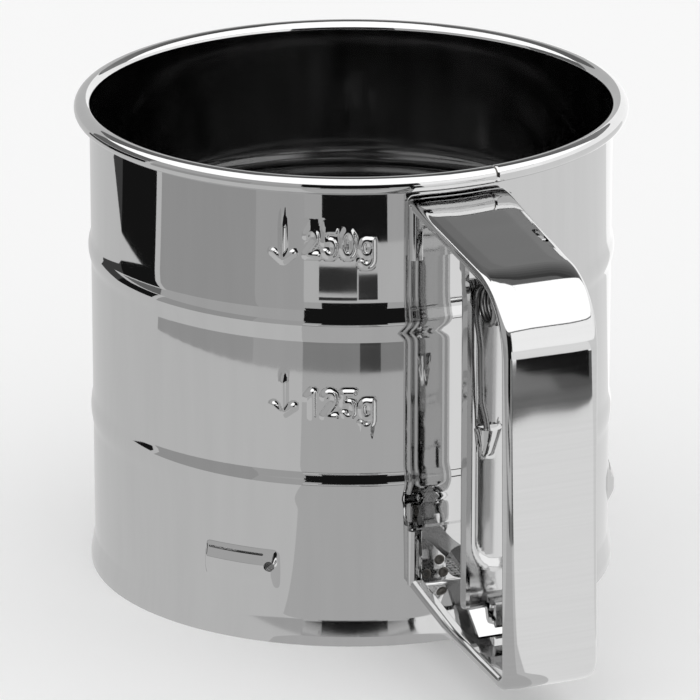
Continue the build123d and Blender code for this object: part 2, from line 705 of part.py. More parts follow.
if __name__ == "__main__":
    os.makedirs("parts", exist_ok=True)
    make_can_body()
    make_handle()
    make_trigger()
    make_trigger_spring()
    make_drive_link()
    make_crank()
    make_rotor()
    make_bearing_spider()
    make_axle()
    make_sieve()
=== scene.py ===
import json
import math

import bmesh
import bpy
import numpy as np
from mathutils import Matrix, Vector


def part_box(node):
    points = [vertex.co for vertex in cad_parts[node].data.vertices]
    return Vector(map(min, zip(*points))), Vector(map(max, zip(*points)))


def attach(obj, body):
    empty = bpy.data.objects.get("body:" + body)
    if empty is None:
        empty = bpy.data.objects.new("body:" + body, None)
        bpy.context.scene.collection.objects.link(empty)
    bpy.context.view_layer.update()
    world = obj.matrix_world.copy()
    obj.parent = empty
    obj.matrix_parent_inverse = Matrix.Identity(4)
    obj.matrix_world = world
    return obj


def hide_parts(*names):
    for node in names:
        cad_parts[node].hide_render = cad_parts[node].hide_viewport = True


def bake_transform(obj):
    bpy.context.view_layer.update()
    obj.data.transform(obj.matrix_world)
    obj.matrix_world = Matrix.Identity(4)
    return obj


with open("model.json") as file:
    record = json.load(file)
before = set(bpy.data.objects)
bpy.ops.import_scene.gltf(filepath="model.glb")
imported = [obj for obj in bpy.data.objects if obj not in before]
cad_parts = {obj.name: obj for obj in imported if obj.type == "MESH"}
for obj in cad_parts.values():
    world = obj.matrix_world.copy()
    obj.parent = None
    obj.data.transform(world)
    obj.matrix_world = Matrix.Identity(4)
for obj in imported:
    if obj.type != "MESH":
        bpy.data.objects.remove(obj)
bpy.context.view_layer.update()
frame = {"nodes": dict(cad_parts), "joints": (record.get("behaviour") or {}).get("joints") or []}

MM = 0.001                     # every size below is in millimetres
TINY = 1e-4                    # share of a curve's length, for the direction at its end


def corners(node):
    """Lowest and highest corners of a CAD node, in millimetres."""
    low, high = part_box(node)
    return low / MM, high / MM


# --- sizes from the frame ----------------------------------------------------------------------
CAN_HIGH = corners("can_body")[1]
MESH_LOW, MESH_HIGH = corners("sieve_mesh")
SQUEEZE_JOINT = next(j for j in frame["joints"] if j["name"] == "trigger_squeeze")
PIVOT = Vector(SQUEEZE_JOINT["pos_m"]) / MM

# --- can ---------------------------------------------------------------------------------------
SHEET = 0.4
CAN_RADIUS = 50.0
WALL = CAN_RADIUS - SHEET / 2                  # middle of the sheet
CURL_RADIUS = (CAN_HIGH.x - SHEET / 2 - WALL) / 2
CURL_Z = CAN_HIGH.z - SHEET / 2 - CURL_RADIUS
CURL_TURN = 290.0
HEM_PROUD = 0.75
HEM_CONE = ((1.3, 1.0), (5.3, 0.0))   # height, share of HEM_PROUD
BEADS = ((31.2, 4.0, 0.4), (63.7, 3.35, 0.55))   # centre, half height, proud by
POCKET_ANGLES = (-47.0, 73.0, 193.0)
POCKET_HALF_ARC = 9.0
POCKET_HEIGHTS = (10.7, 13.3, 15.6, 18.2)
POCKET_PUSH = (0.0, 1.2, 1.2, 0.0)
WALL_CUT = (47.0, 54.0)        # radii between which the pocket's openings are cut
POCKET_SLIT = ((-0.9, 17.3), (11.4, 0.4))      # (place across, height), (length, width)
POCKET_HOLE = ((6.2, 15.3), (2.0, 1.9))
RIM_JOINT_ANGLE = 8.4
RIM_JOINT_DEPTH = 0.3
RIM_JOINT_HALF = 0.45          # degrees
RIM_JOINT_GAP = 0.2
OPENING = (3.3, 15.55, 10.0, 6.5)              # centre y, centre z, width, height
OPENING_CUT = (45.0, 56.0)                     # X between which it is cut

# --- pressed gradation marks -------------------------------------------------------------------
MARK_PROUD = 0.45
MARK_HALF_WIDTH = 0.85
GLYPH_WIDTH = 2.5
GLYPH_HEIGHT = 4.7
GLYPH_PITCH = 3.4
ARROW_HALF_WIDTH = 1.9
ARROW_HEAD = 1.6
MARKS = (("250g", 77.3, (83.3, 75.9)), ("125g", 45.7, (52.4, 45.8)))   # text, foot, arrow ends
MARK_START_ANGLE = -32.3
ARROW_ANGLE = -37.0
MARK_MIDDLE = (MARK_START_ANGLE + ARROW_ANGLE) / 2 + 8.0

# --- handle ------------------------------------------------------------------------------------
STRIP_HALF = 9.25
STRIP_SHEET = 0.7
HEM_RADIUS = 1.2
HEM_LIP = 1.3
CROWN_FLAT = 4.0               # the strip's face falls away towards its edges beyond this
CROWN_DROP = 0.9
FLANGE_RADIUS = CAN_RADIUS + 0.02
ROOT_BEND = 1.3
WIDE_ROOT = 1.6                # added to the right half of the strip at the can
WIDE_RUN = 30.0
ROOT_REACH = 58.0              # the arms are plain flat strip beyond this X
ARM_TOP_AT_CAN = 88.5
GRIP_TOP_CORNER = (94.65, 83.1)
GRIP_TOP_BEND = 14.0
GRIP_LOW_CORNER = (96.4, 6.4)
GRIP_LOW_BEND = 4.5
LOW_ARM_KNEE = (70.0, 7.95)
LOW_ARM_KNEE_BEND = 60.0
ARM_LOW_AT_CAN = 11.2
UPPER_FLANGE_END = 76.7
LOWER_FLANGE_END = 23.3
EAR_SLOT = (PIVOT.x - 0.5, 7.6, 5.6, 1.4)   # centre x, side y, length, width

EAR_CUT_Z = (70.0, 95.0)
WELDS = ((-2.9, 16.5), (-5.5, 13.9), (-2.1, 13.9), (-4.6, 82.6), (4.6, 82.6))   # (y, z)
WELD_PROFILE = ((0.0, 0.02), (0.35, 0.03), (0.6, 0.1), (0.8, 0.1), (1.0, 0.0))  # (radius, rise)
WELD_SIDES = 24

# --- trigger -----------------------------------------------------------------------------------
TRIGGER_SHEET = 0.8
TRIGGER_X = 71.0               # outer surface of the plate, towards the can
TRIGGER_HALF = 8.0
TRIGGER_BEND = 1.5
FLANGE_DEPTH = 3.8
EAR_DEPTH = 2.6
EAR_TAPER = 3.0                # height over which the flanges narrow to the ears
EAR_ROWS = 8
EAR_COLUMNS = 13
EAR_TOPS = (84.5, 85.5)        # left, right
PLATE_TOP = 79.0
FOLD_Z = 13.9
FOLD_TOP = FOLD_Z + 1.2
FOLD_RADIUS = 1.6
TONGUE_HALF = 6.1
TONGUE_SHORT = 0.3             # the sheet's thickness takes up the rest of the tongue's reach
TONGUE_SLOPE = 38.0
TONGUE_END_X = 76.4
PANEL_HALF = 5.4
PANEL_DEPTH = 0.6
PANEL_Z = (22.4, 76.0)
SCOOP_Z = (44.2, 50.2)
SCOOP_Y = -2.2
SCOOP_HALF = 2.2
SCOOP_DEPTH = 2.3
TAB_WINDOW = (0.855, 3.255)    # centre y and half width of the two cut-outs round the link's tab
TAB_WINDOW_Z = (14.1, 17.1)
TAB_SLOT_X = (73.5, 75.5)
TONGUE_CUT_Z = (8.0, 14.0)
CUT_REACH = 2.0

# --- spring ------------------------------------------------------------------------------------
WIRE_RADIUS = 0.6
COIL_CENTRE = (76.2, 75.5)
COIL_RADIUS = 3.6
COIL_START_Y = -5.4
COIL_PITCH = 1.26
COIL_TURNS = 6.437
GRIP_LEG = 37.0
SCOOP_LEG = ((72.25, -2.9, 49.2), (72.65, -4.2, 56.0), (73.2, -4.6, 65.0))

# --- woven mesh --------------------------------------------------------------------------------
WEAVE_PITCH = 1.25
WEAVE_WIRE = 0.13
WEAVE_RADIUS = 47.4
AXLE_CLEAR = 1.9

# --- camera and stage --------------------------------------------------------------------------
CAMERA_ANGLE = -22.4           # degrees from +X
CAMERA_ELEVATION = 19.2
CAMERA_DISTANCE = 1.22         # metres
CAMERA_TARGET = (0.0, 0.0, 0.045)
CAMERA_LENS = 324.4
CAMERA_SHIFT = (-0.0016, -0.0256)
FLOOR_SIZE = 6.0               # metres
CARD_DISTANCE = 1600.0         # millimetres
CARD_CENTRE_Z = 45.0
SHADE_STEPS = 8                # cards that darken upwards behind the can, seen in the top arm
SHADE_BAND = 4.5               # degrees each
SHADE_BOTTOM = 27.0
SHADE_LEVELS = (0.27, 0.06)
GROUND_TOP = -1.0              # millimetres: the lowest ground card, under the floor
LAYER_STEP = 0.1
STEEL = 0.66                   # reflectance of clean polished steel


# --- mesh helpers ------------------------------------------------------------------------------
def smooth(t):
    """Eases from 0 to 1."""
    t = np.clip(t, 0.0, 1.0)
    return t * t * (3 - 2 * t)


def s_curve(t):
    """Two equal parabolic bends from 0 to 1."""
    t = np.clip(t, 0.0, 1.0)
    return np.where(t < 0.5, 2 * t * t, 1 - 2 * (1 - t) ** 2)


def graded(low, high, widest, zones, growth):
    """Places from low to high, close together inside the zones and gradually wider outside."""
    places = [low]
    while places[-1] < high:
        step = widest
        for centre, half, fine in zones:
            step = min(step, fine + growth * max(0.0, abs(places[-1] - centre) - half))
        places.append(places[-1] + step)
    scale = (high - low) / (places[-1] - low)
    return np.array([low + (place - low) * scale for place in places])


def grid_faces(rows, columns, wrap_rows=False, wrap_columns=False):
    """Quads between rows of points."""
    faces = []
    for i in range(rows if wrap_rows else rows - 1):
        for j in range(columns if wrap_columns else columns - 1):
            below = i * columns
            above = ((i + 1) % rows) * columns
            right = (j + 1) % columns
            faces.append((below + j, below + right, above + right, above + j))
    return faces


def make_object(name, points, faces, material, sharp=40.0):
    """A mesh object from points in millimetres, smooth except at edges sharper than an angle."""
    mesh = bpy.data.meshes.new(name)
    mesh.from_pydata((np.array(points, float) * MM).tolist(), [], faces)
    clean = bmesh.new()
    clean.from_mesh(mesh)
    bmesh.ops.remove_doubles(clean, verts=clean.verts, dist=1e-7)
    bmesh.ops.recalc_face_normals(clean, faces=clean.faces)
    clean.to_mesh(mesh)
    clean.free()
    obj = bpy.data.objects.new(name, mesh)
    bpy.context.scene.collection.objects.link(obj)
    mesh.materials.append(material)
    soften(obj, sharp)
    return obj


def soften(obj, sharp):
    obj.data.shade_smooth()
    obj.data.set_sharp_from_angle(angle=math.radians(sharp))


def apply_modifiers(obj, sharp):
    """The object's mesh becomes what its modifiers make of it."""
    graph = bpy.context.evaluated_depsgraph_get()
    made = bpy.data.meshes.new_from_object(obj.evaluated_get(graph))
    made.name = obj.name
    obj.modifiers.clear()
    obj.data = made
    soften(obj, sharp)


def cut(obj, cutters, sharp=40.0):
    """Takes closed cutter meshes out of an object."""
    for cutter in cutters:
        boolean = obj.modifiers.new("cut", "BOOLEAN")
        boolean.operation = "DIFFERENCE"
        boolean.solver = "EXACT"
        boolean.object = cutter
    apply_modifiers(obj, sharp)
    for cutter in cutters:
        bpy.data.objects.remove(cutter)


def obround(width, height, per_end=14):
    """Outline of a slot with round ends, centred on the origin, its length along the first axis."""
    radius = height / 2
    reach = width / 2 - radius
    outline = []
    for end, side in ((1, -90), (-1, 90)):
        for k in range(per_end + 1):
            turn = math.radians(side + 180 * k / per_end)
            outline.append((end * reach + radius * math.cos(turn), radius * math.sin(turn)))
    return outline


def prism(name, outline, place, low, high, material):
    """Closed prism over an outline; place turns (a, b, height) into a point."""
    points = [place(a, b, low) for a, b in outline] + [place(a, b, high) for a, b in outline]
    count = len(outline)
    faces = [tuple(range(count)), tuple(range(count, 2 * count))]
    for k in range(count):
        following = (k + 1) % count
        faces.append((k, following, count + following, count + k))
    return make_object(name, points, faces, material)


def tube(name, route, radius, material, sides=14):
    """Round wire along a route, with its ends closed."""
    route = [Vector(p) for p in route]
    across = Vector((0, 0, 1)).cross(route[1] - route[0])
    if across.length < 0.01:
        across = Vector((0, 1, 0))
    points = []
    for k, here in enumerate(route):
        before = route[max(k - 1, 0)]
        after = route[min(k + 1, len(route) - 1)]
        along = (after - before).normalized()
        across = (across - along * across.dot(along)).normalized()
        other = along.cross(across)
        for s in range(sides):
            turn = 2 * math.pi * s / sides
            points.append(here + radius * (across * math.cos(turn) + other * math.sin(turn)))
    faces = grid_faces(len(route), sides, wrap_columns=True)
    faces.append(tuple(range(sides)))
    faces.append(tuple(range((len(route) - 1) * sides, len(route) * sides)))
    return make_object(name, points, faces, material, sharp=60.0)


# --- materials ---------------------------------------------------------------------------------
def node(tree, kind, **settings):
    """A new shader node with some of its settings."""
    made = tree.nodes.new(kind)
    for key, value in settings.items():
        setattr(made, key, value)
    return made


def noise(tree, stretch, scale, detail):
    """Noise over the object's own coordinates, stretched along an axis."""
    place = node(tree, "ShaderNodeTexCoord")
    mapping = node(tree, "ShaderNodeMapping")
    mapping.inputs["Scale"].default_value = stretch
    texture = node(tree, "ShaderNodeTexNoise")
    texture.inputs["Scale"].default_value = scale
    texture.inputs["Detail"].default_value = detail
    tree.links.new(place.outputs["Object"], mapping.inputs["Vector"])
    tree.links.new(mapping.outputs["Vector"], texture.inputs["Vector"])
    return texture.outputs["Fac"]


def spread(tree, value, low, high):
    """A noise value mapped onto a range."""
    mapped = node(tree, "ShaderNodeMapRange")
    mapped.inputs["From Min"].default_value = 0.3
    mapped.inputs["From Max"].default_value = 0.7
    mapped.inputs["To Min"].default_value = low
    mapped.inputs["To Max"].default_value = high
    tree.links.new(value, mapped.inputs["Value"])
    return mapped.outputs["Result"]


def steel(name, tone, roughness, grain, grain_depth, ripple=0.0, tint=(1.0, 1.0, 1.0)):
    """Stainless steel: smudged roughness, drawn grain along one axis and a slow sheet ripple."""
    material = bpy.data.materials.new(name)
    material.use_nodes = True
    tree = material.node_tree
    shader = tree.nodes["Principled BSDF"]
    shader.inputs["Metallic"].default_value = 1.0
    smudge = noise(tree, (1, 1, 1), 60.0, 3.0)
    fine = noise(tree, grain, 1.0, 4.0)
    mix = node(tree, "ShaderNodeMath", operation="ADD")
    tree.links.new(spread(tree, smudge, -0.3 * roughness, 0.4 * roughness), mix.inputs[0])
    tree.links.new(spread(tree, fine, 0.85 * roughness, 1.2 * roughness), mix.inputs[1])
    tree.links.new(mix.outputs[0], shader.inputs["Roughness"])
    colour = node(tree, "ShaderNodeMix", data_type="RGBA")
    colour.inputs[6].default_value = [0.975 * tone * t for t in tint] + [1.0]
    colour.inputs[7].default_value = [1.01 * tone * t for t in tint] + [1.0]
    tree.links.new(spread(tree, fine, 0.0, 1.0), colour.inputs[0])
    tree.links.new(colour.outputs[2], shader.inputs["Base Color"])
    scratch = node(tree, "ShaderNodeBump")
    scratch.inputs["Strength"].default_value = 1.0
    scratch.inputs["Distance"].default_value = grain_depth
    tree.links.new(fine, scratch.inputs["Height"])
    if ripple:
        slow = noise(tree, (1, 1, 1), 45.0, 1.0)
        wave = node(tree, "ShaderNodeBump")
        wave.inputs["Strength"].default_value = 1.0
        wave.inputs["Distance"].default_value = ripple
        tree.links.new(slow, wave.inputs["Height"])
        tree.links.new(wave.outputs["Normal"], scratch.inputs["Normal"])
    tree.links.new(scratch.outputs["Normal"], shader.inputs["Normal"])
    return material


ALONG_Z = (900.0, 900.0, 25.0)
ALONG_X = (25.0, 900.0, 900.0)
ACROSS_GRIP = (40.0, 30.0, 1500.0)
POLISHED = steel("polished_sheet", STEEL, 0.03, (300.0, 300.0, 30.0), 5e-8, ripple=3e-6)
# painted shade: the inner wall's tone is darkened to stand for the shade inside the can; its higher
# roughness is the duller inner finish
SHADED_INSIDE = steel("sheet_inside_painted_shade", 0.3, 0.1, (300.0, 300.0, 30.0), 2e-7, ripple=6e-6)
STRIP = steel("drawn_strip", STEEL, 0.045, ACROSS_GRIP, 2e-7, ripple=3e-6)
PRESSED = steel("pressed_sheet", STEEL, 0.06, ALONG_Z, 2e-7, ripple=4e-6)
# painted shade: the spring wire's tone is darkened to stand for the shade the coil sits in
SHADED_SPRING = steel("spring_wire", 0.3, 0.25, (700.0, 700.0, 700.0), 1.5e-6)
FORGED = steel("turned_steel", 0.3, 0.22, (1200.0, 1200.0, 60.0), 1.5e-6)
DRAWN = steel("flat_steel", 0.32, 0.18, ALONG_X, 1.2e-6, ripple=6e-6)
WIRE = steel("woven_wire", 0.3, 0.28, (600.0, 600.0, 600.0), 1.0e-6)
BURNT = steel("spot_weld", 0.16, 0.4, (500.0, 500.0, 500.0), 4e-6, tint=(1.0, 0.95, 0.88))


# --- can ---------------------------------------------------------------------------------------
def wall_radius(z):
    """Middle of the can's sheet at a height: flared hem, plain wall and two rolled beads."""
    heights, shares = zip(*HEM_CONE)
    radius = WALL + HEM_PROUD * np.interp(z, heights, shares)
    for centre, half, proud in BEADS:
        radius = radius + proud * (1 - s_curve(np.abs(z - centre) / half))
    return radius


def arc_stroke(centre, size, start, end, steps=10):
    """Part of an ellipse as a run of points, between two angles in degrees."""
    turns = np.radians(np.linspace(start, end, steps + 1))
    return [(centre[0] + size[0] * math.cos(t), centre[1] + size[1] * math.sin(t)) for t in turns]


GLYPHS = {                     # strokes in a box one unit wide and one unit high
    "0": [arc_stroke((0.5, 0.5), (0.42, 0.5), 0, 360, 16)],
    "1": [[(0.2, 0.78), (0.58, 1.0), (0.58, 0.0)]],
    "2": [arc_stroke((0.5, 0.72), (0.38, 0.28), 165, -35) + [(0.1, 0.0), (0.92, 0.0)]],
    "5": [[(0.88, 1.0), (0.2, 1.0), (0.14, 0.52)] + arc_stroke((0.5, 0.31), (0.4, 0.31), 130, -150)],
    "g": [
        arc_stroke((0.5, 0.32), (0.36, 0.32), 0, 360, 14),
        [(0.9, 0.62), (0.9, -0.1)] + arc_stroke((0.5, -0.12), (0.4, 0.28), 0, -150),
    ],
}


def mark_strokes():
    """Centre lines of the pressed marks, as (distance round the wall, height) in millimetres."""
    strokes = []
    for text, foot, (arrow_top, arrow_foot) in MARKS:
        for place, letter in enumerate(text):
            left = WALL * math.radians(MARK_START_ANGLE) + place * GLYPH_PITCH
            for line in GLYPHS[letter]:
                strokes.append(
                    [(left + x * GLYPH_WIDTH, foot + y * GLYPH_HEIGHT) for x, y in line]
                )
        middle = WALL * math.radians(ARROW_ANGLE)
        head = arrow_foot + ARROW_HEAD
        strokes.append([(middle, arrow_top), (middle, arrow_foot)])
        strokes.append(
            [
                (middle - ARROW_HALF_WIDTH, head),
                (middle, arrow_foot),
                (middle + ARROW_HALF_WIDTH, head),
            ]
        )
    return strokes


def mark_push(around, height):
    """How far the marks stand out of the wall over a grid of places."""
    nearest = np.full(around.shape, 1e3)
    for stroke in mark_strokes():
        for (ax, ay), (bx, by) in zip(stroke, stroke[1:]):
            dx, dy = bx - ax, by - ay
            t = ((around - ax) * dx + (height - ay) * dy) / (dx * dx + dy * dy + 1e-9)
            t = np.clip(t, 0, 1)
            gap = np.hypot(around - ax - t * dx, height - ay - t * dy)
            nearest = np.minimum(nearest, gap)
    return MARK_PROUD * smooth(1.25 * (1 - nearest / MARK_HALF_WIDTH))


def pocket_push(angle, height):
    """How far the pressed pockets stand out of the wall over a grid of places."""
    push = np.zeros(angle.shape)
    rise = np.interp(height, POCKET_HEIGHTS, POCKET_PUSH)
    for centre in POCKET_ANGLES:
        away = np.abs((angle - centre + 180) % 360 - 180)
        push = push + rise * smooth((POCKET_HALF_ARC - away) / 1.4)
    return push


def can_columns():
    """Angles of the shell's columns, close together at the marks, the pockets and the rim joint."""
    zones = [(MARK_MIDDLE, 12.6, 0.33), (RIM_JOINT_ANGLE, 0.5, 0.13), (3.8, 6.6, 0.8)]
    for angle in POCKET_ANGLES:
        for edge in (-1, 1):
            centre = (angle + edge * (POCKET_HALF_ARC - 0.7) + 180) % 360 - 180
            zones.append((centre, 0.9, 0.35))
    return graded(-180.0, 180.0, 3.0, zones, 0.14)[:-1]


def can_heights():
    """Heights of the wall's rows, close together at the marks, the pockets, the beads and the hem."""
    zones = [(79.4, 4.6, 0.31), (49.0, 4.3, 0.31), (14.4, 4.4, 0.5), (3.3, 2.6, 0.4)]
    zones += [(centre, half + 0.3, 0.6) for centre, half, _ in BEADS]
    return graded(0.0, CURL_Z, 3.5, zones, 1.0)


def can_middle_line(heights):
    """Radius and height along the middle of the sheet, and the direction to its outside."""
    slope = (wall_radius(heights + 0.01) - wall_radius(heights - 0.01)) / 0.02
    steep = np.hypot(1, slope)
    turns = np.radians(np.linspace(180.0, 180.0 - CURL_TURN, 26)[1:])
    radius = np.concatenate([wall_radius(heights), WALL + CURL_RADIUS * (1 + np.cos(turns))])
    height = np.concatenate([heights, CURL_Z + CURL_RADIUS * np.sin(turns)])
    out_r = np.concatenate([1 / steep, -np.cos(turns)])
    out_z = np.concatenate([-slope / steep, -np.sin(turns)])
    out_z[0] = 0.0
    return radius, height, out_r, out_z


def colour_shell(shell):
    """Inner wall in a rougher sheet whose darkened tone is painted shade inside the can, and a dark
    line where the rolled rim's ends meet.
    """
    shaded_inside_slot, joint_slot = 1, 2
    for face in shell.data.polygons:
        middle = face.center / MM
        outwards = face.normal.x * middle.x + face.normal.y * middle.y
        if middle.z < CURL_Z and outwards < 0:
            face.material_index = shaded_inside_slot
        away = abs(math.degrees(math.atan2(middle.y, middle.x)) - RIM_JOINT_ANGLE)
        if middle.z > CURL_Z and away < RIM_JOINT_GAP:
            face.material_index = joint_slot


def make_can_shell():
    """Drawn sheet can: flared hem, beads, pressed pockets and marks, and the rolled rim."""
    angles = can_columns()
    heights = can_heights()
    middle_r, middle_z, out_r, out_z = can_middle_line(heights)
    angle_grid, height_grid = np.meshgrid(angles, middle_z)
    push = pocket_push(angle_grid, height_grid)
    push += mark_push(WALL * np.radians(angle_grid), height_grid)
    push[len(heights):] = 0.0
    groove = smooth(1 - np.abs(angle_grid - RIM_JOINT_ANGLE) / RIM_JOINT_HALF)
    groove[: len(heights)] = 0.0
    turn = np.radians(angles)
    points = []
    order = [(1, i) for i in range(len(middle_r))]
    order += [(-1, i) for i in reversed(range(len(middle_r)))]
    for side, i in order:
        sink = RIM_JOINT_DEPTH * groove[i] if side < 0 else 0.0
        offset = side * SHEET / 2 + sink
        radius = middle_r[i] + offset * out_r[i] + push[i]
        z = middle_z[i] + offset * out_z[i]
        row = np.stack([radius * np.cos(turn), radius * np.sin(turn), z + 0 * turn], axis=1)
        points.extend(row.tolist())
    faces = grid_faces(len(order), len(angles), wrap_rows=True, wrap_columns=True)
    shell = make_object("can_shell", points, faces, POLISHED, sharp=60.0)
    shell.data.materials.append(SHADED_INSIDE)
    shell.data.materials.append(BURNT)
    cut(shell, [opening_cutter()] + pocket_cutters(), sharp=60.0)
    colour_shell(shell)
    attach(shell, "can")
    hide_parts("can_body")


def pocket_cutters():
    """The slit along each pocket's upper edge and the round opening at its right end."""
    cutters = []
    for angle in POCKET_ANGLES:
        for (across, z), size in (POCKET_SLIT, POCKET_HOLE):
            outline = [(across + a, z + b) for a, b in obround(*size, per_end=6)]
            spin = Matrix.Rotation(math.radians(angle), 3, "Z")
            near, far = WALL_CUT
            place = lambda a, b, h: spin @ Vector((h, a, b))
            cutters.append(prism("cutter", outline, place, near, far, SHADED_INSIDE))
    return cutters


def opening_cutter():
    y, z, width, height = OPENING
    near, far = OPENING_CUT
    outline = obround(width, height)
    return prism("cutter", outline, lambda a, b, h: (h, y + a, z + b), near, far, POLISHED)


# --- handle ------------------------------------------------------------------------------------
def strip_section():
    """Loop of (across, depth below the outer face) round the strip and its rolled edges."""
    side = STRIP_HALF - HEM_RADIUS
    inner = HEM_RADIUS - STRIP_SHEET
    web = np.linspace(-side, side, 17)[1:-1]
    right = []
    for turn in np.radians(np.linspace(-90, 90, 13)):
        right.append((side + HEM_RADIUS * math.cos(turn), HEM_RADIUS * (1 + math.sin(turn))))
    right.append((side - HEM_LIP + 0.2, 2 * HEM_RADIUS))
    right.append((side - HEM_LIP, 2 * HEM_RADIUS - 0.2))
    right.append((side - HEM_LIP, HEM_RADIUS + inner + 0.1))
    right.append((side - HEM_LIP + 0.1, HEM_RADIUS + inner))
    for turn in np.radians(np.linspace(90, -90, 9)):
        right.append((side + inner * math.cos(turn), HEM_RADIUS + inner * math.sin(turn)))
    loop = [(u, 0.0) for u in web] + right
    loop += [(u, STRIP_SHEET) for u in web[::-1]] + [(-u, d) for u, d in reversed(right)]
    return [(u, d + CROWN_DROP * (max(0.0, abs(u) - CROWN_FLAT) / side) ** 2) for u, d in loop]


def rounded_path(points, radii):
    """Points and directions along straight runs joined by tangent arcs, in the XZ plane."""
    points = [Vector(p) for p in points]
    path = [(points[0], (points[1] - points[0]).normalized())]
    for before, corner, after, radius in zip(points, points[1:], points[2:], radii):
        come = (corner - before).normalized()
        go = (after - corner).normalized()
        turn = come.angle(go)
        side = 1 if come.cross(go) > 0 else -1
        start = corner - come * radius * math.tan(turn / 2)
        centre = start + Vector((-come.y, come.x)) * side * radius
        steps = max(6, math.ceil(math.degrees(turn) / 4))
        for part in (0.25, 0.5, 0.75):
            path.append((path[-1][0].lerp(start, part), come))
        for k in range(steps + 1):
            spin = Matrix.Rotation(side * turn * k / steps, 2)
            path.append((centre + spin @ (start - centre), spin @ come))
    last = points[-1]
    end_direction = (points[-1] - points[-2]).normalized()
    for part in (0.5, 1.0):
        path.append((path[-1][0].lerp(last, part), end_direction))
    return path


def widened(u, x):
    """Place across the strip: its right half is wider at the can than at the grip."""
    share = np.clip((GRIP_TOP_CORNER[0] - GRIP_TOP_BEND - x) / WIDE_RUN, 0.0, 1.0)
    return u * (1 + float(share) * WIDE_ROOT / STRIP_HALF) if u > 0 else u


def root_rows(section, up, flange_end, arm_at_can, slope):
    """Rows from a flange's free end, round its bend and out along the arm to ROOT_REACH."""
    tilt = math.atan(slope)
    turn_end = math.pi / 2 - up * tilt

    def arm_z(x):
        return arm_at_can + slope * (x - CAN_RADIUS)

    def bend_z(wall_x):
        end_x = wall_x + ROOT_BEND * (1 - math.cos(turn_end))
        return arm_z(end_x) - up * ROOT_BEND * math.sin(turn_end)

    rows = []
    for part in np.linspace(0, 1, 14):
        row = []
        for u, d in section:
            angle = widened(u, CAN_RADIUS) / FLANGE_RADIUS
            radius = FLANGE_RADIUS + d
            z = flange_end + (bend_z(FLANGE_RADIUS * math.cos(angle)) - flange_end) * part
            row.append((radius * math.cos(angle), radius * math.sin(angle), z))
        rows.append(row)
    for turn in np.linspace(0, turn_end, 11)[1:]:
        row = []
        for u, d in section:
            angle = widened(u, CAN_RADIUS) / FLANGE_RADIUS
            out = ROOT_BEND - (ROOT_BEND - d) * math.cos(turn)
            wall_x = FLANGE_RADIUS * math.cos(angle)
            aim = angle * (1 - turn / turn_end)
            x = wall_x + out * math.cos(aim)
            y = FLANGE_RADIUS * math.sin(angle) + out * math.sin(aim)
            z = bend_z(wall_x) + up * (ROOT_BEND - d) * math.sin(turn)
            row.append((x, y, z))
        rows.append(row)
    normal_x = -slope / math.hypot(1, slope) * up
    normal_z = up / math.hypot(1, slope)
    for part in np.linspace(0, 1, 7)[1:]:
        row = []
        for u, d in section:
            angle = widened(u, CAN_RADIUS) / FLANGE_RADIUS
            start_x = FLANGE_RADIUS * math.cos(angle) + ROOT_BEND * (1 - math.cos(turn_end))
            x = start_x + (ROOT_REACH - start_x) * part
            start_y = FLANGE_RADIUS * math.sin(angle)
            y = start_y + (widened(u, x) - start_y) * float(smooth(part))
            row.append((x - d * normal_x, y, arm_z(x) - d * normal_z))
        rows.append(row)
    return rows


def make_handle_strip():
    """One hemmed strip from flange to flange: top arm, grip and bottom arm."""
    section = strip_section()
    top_slope = (GRIP_TOP_CORNER[1] - ARM_TOP_AT_CAN) / (GRIP_TOP_CORNER[0] - CAN_RADIUS)
    low_slope = (LOW_ARM_KNEE[1] - ARM_LOW_AT_CAN) / (LOW_ARM_KNEE[0] - CAN_RADIUS)
    top_start = (ROOT_REACH, ARM_TOP_AT_CAN + top_slope * (ROOT_REACH - CAN_RADIUS))
    low_end = (ROOT_REACH, ARM_LOW_AT_CAN + low_slope * (ROOT_REACH - CAN_RADIUS))
    path = rounded_path(
        [top_start, GRIP_TOP_CORNER, GRIP_LOW_CORNER, LOW_ARM_KNEE, low_end],
        [GRIP_TOP_BEND, GRIP_LOW_BEND, LOW_ARM_KNEE_BEND],
    )
    rows = root_rows(section, 1, UPPER_FLANGE_END, ARM_TOP_AT_CAN, top_slope)
    for place, along in path[1:-1]:
        normal = Vector((-along.y, along.x))
        row = []
        for u, d in section:
            x = place.x - d * normal.x
            row.append((x, widened(u, x), place.y - d * normal.y))
        rows.append(row)
    rows += reversed(root_rows(section, -1, LOWER_FLANGE_END, ARM_LOW_AT_CAN, low_slope))
    count = len(section)
    points = [point for row in rows for point in row]
    faces = grid_faces(len(rows), count, wrap_columns=True)
    faces.append(tuple(range(count)))
    faces.append(tuple(range((len(rows) - 1) * count, len(rows) * count)))
    strip = make_object("handle_strip", points, faces, STRIP)
    slot_x, slot_y, slot_length, slot_width = EAR_SLOT
    slot = obround(slot_length, slot_width)
    low_z, high_z = EAR_CUT_Z
    right_slot = prism(
        "cutter", slot, lambda a, b, h: (slot_x + a, slot_y + b, h), low_z, high_z, STRIP
    )
    cut(strip, [opening_cutter(), right_slot])
    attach(strip, "can")
    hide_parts("handle")


def make_spot_welds():
    """Low domes with a sunk middle where the flanges are spot-welded to the can."""
    for index, (y, z) in enumerate(WELDS):
        points = []
        for ring, rise in WELD_PROFILE:
            for k in range(WELD_SIDES):
                turn = 2 * math.pi * k / WELD_SIDES
                angle = (y + ring * math.cos(turn)) / FLANGE_RADIUS
                radius = FLANGE_RADIUS + STRIP_SHEET + rise
                up = z + ring * math.sin(turn)
                points.append((radius * math.cos(angle), radius * math.sin(angle), up))
        faces = grid_faces(len(WELD_PROFILE), WELD_SIDES, wrap_columns=True)
        weld = make_object(f"spot_weld_{index + 1}", points, faces, BURNT)
        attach(weld, "can")


